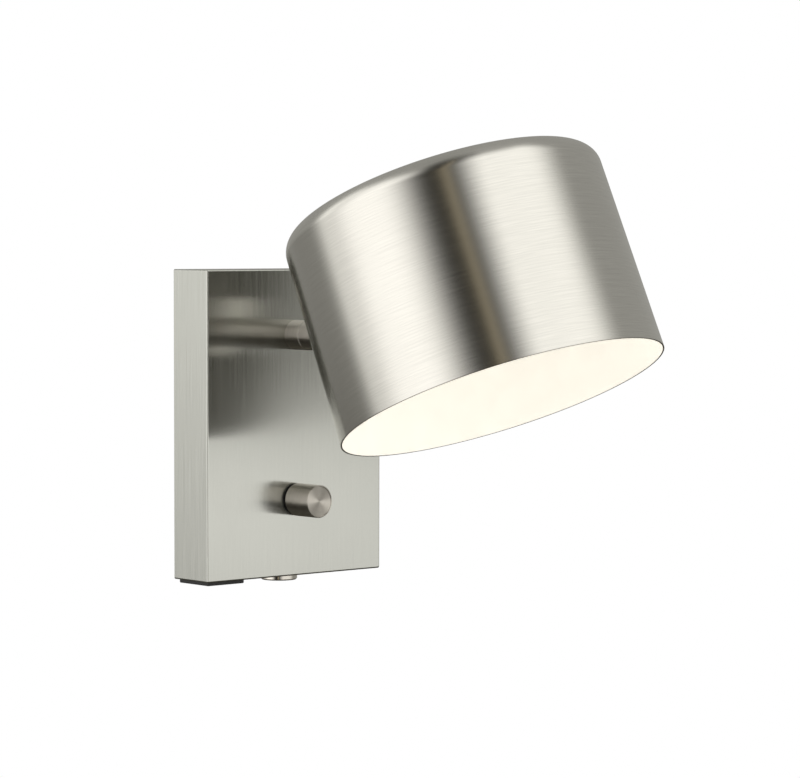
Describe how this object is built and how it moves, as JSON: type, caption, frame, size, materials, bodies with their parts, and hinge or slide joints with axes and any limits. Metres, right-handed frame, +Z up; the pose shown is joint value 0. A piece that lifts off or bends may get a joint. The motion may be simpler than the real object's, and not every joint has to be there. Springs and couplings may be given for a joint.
{
  "type": "wall reading lamp",
  "caption": "Wall reading lamp: slim folded metal box, short swivelling arm and tilting drum shade, with a dimmer knob, push switch and downward charging socket.",
  "frame": {"origin": "centre of the box's open back, on the wall plane, midway between the two wall screw slots", "axes": "+Z up; +Y into the wall, so the arm reaches out along -Y; +X to the right as seen from the room facing the wall"},
  "size_m": [0.1571, 0.2419, 0.214],
  "materials": {
    "nickel_box": "vertically brushed satin nickel",
    "nickel_arm": "satin nickel, brushed round the arm",
    "nickel_shade": "spun satin nickel, brushed round the shade",
    "nickel_knob": "turned satin nickel with a spun face",
    "nickel_button": "polished nickel",
    "zinc_steel": "zinc plated sheet",
    "screw_steel": "zinc plated",
    "brass": "bright",
    "white_nylon": "moulded nylon",
    "black_plastic": "fine moulded texture",
    "board_green": "solder masked board",
    "component_dark": "moulded components",
    "lead_sheath": "white flexible sheath",
    "white_lamp": "white moulded heat-resistant plastic",
    "frosted_cover": "frosted light cover"
  },
  "bodies": {
    "wall_unit": {"wall_plate": "zinc_steel", "box_cover": "nickel_box", "cover_screws": "screw_steel", "earth_washer": "screw_steel", "earth_screw": "brass", "terminal_block": "white_nylon", "terminal_screws": "brass", "terminal_fixing_screw": "screw_steel", "lamp_lead": "lead_sheath", "dimmer_leads": "lead_sheath", "socket_lead": "lead_sheath", "switch_leads": "lead_sheath", "dimmer_body": "black_plastic", "dimmer_washer": "screw_steel", "dimmer_nut": "screw_steel", "dimmer_board": "board_green", "dimmer_components": "component_dark", "switch_barrel": "nickel_button", "switch_ring_nut": "screw_steel", "switch_contact_block": "black_plastic", "socket_housing": "black_plastic", "socket_shell": "screw_steel", "socket_tongue": "white_nylon", "converter_board": "board_green", "converter_components": "component_dark", "arm_collar": "nickel_arm", "backing_plate": "zinc_steel", "swivel_stop_pins": "screw_steel", "collar_nut": "screw_steel"},
    "arm": {"swivel_spindle": "screw_steel", "swivel_washer": "white_nylon", "stop_washer": "screw_steel", "swivel_spring_washer": "screw_steel", "swivel_nut": "screw_steel", "arm_tube": "nickel_arm", "arm_knuckle": "nickel_arm", "tilt_screws": "screw_steel", "tilt_friction_washers": "white_nylon", "tilt_spring_washers": "screw_steel"},
    "head": {"shade": "nickel_shade", "shade_carrier": "zinc_steel", "shade_studs": "screw_steel", "stud_nuts": "screw_steel", "lamp_holder": "white_lamp", "holder_screws": "screw_steel", "lamp_body": "white_lamp", "lamp_cover": "frosted_cover", "lamp_pins": "brass", "lamp_lead_head": "lead_sheath"},
    "dimmer_knob": {"dimmer_shaft": "screw_steel", "dimmer_knob": "nickel_knob", "knob_grub_screw": "screw_steel"},
    "push_button": {"switch_button": "nickel_button", "switch_spring": "screw_steel"}
  },
  "joints": [
    {"name": "arm_swivel", "type": "hinge", "parent": "wall_unit", "child": "arm", "pos_m": [0, -0.036, 0.043], "axis": [0, 1, 0], "range_deg": [-86.8, 93.2]},
    {"name": "shade_tilt", "type": "hinge", "parent": "arm", "child": "head", "pos_m": [0, -0.093, 0.043], "axis": [-0.9984, 0, -0.0558], "range_deg": [-22.3, 22.7]},
    {"name": "dimmer_turn", "type": "hinge", "parent": "wall_unit", "child": "dimmer_knob", "pos_m": [0, -0.035, -0.0375], "axis": [0, 1, 0], "range_deg": [-150, 150]},
    {"name": "button_press", "type": "slide", "parent": "wall_unit", "child": "push_button", "axis": [0, 0, 1], "range_m": [0, 0.0015], "stiffness_N_per_m": 600, "springref_m": -0.002, "deforming": ["switch_spring"]}
  ]
}
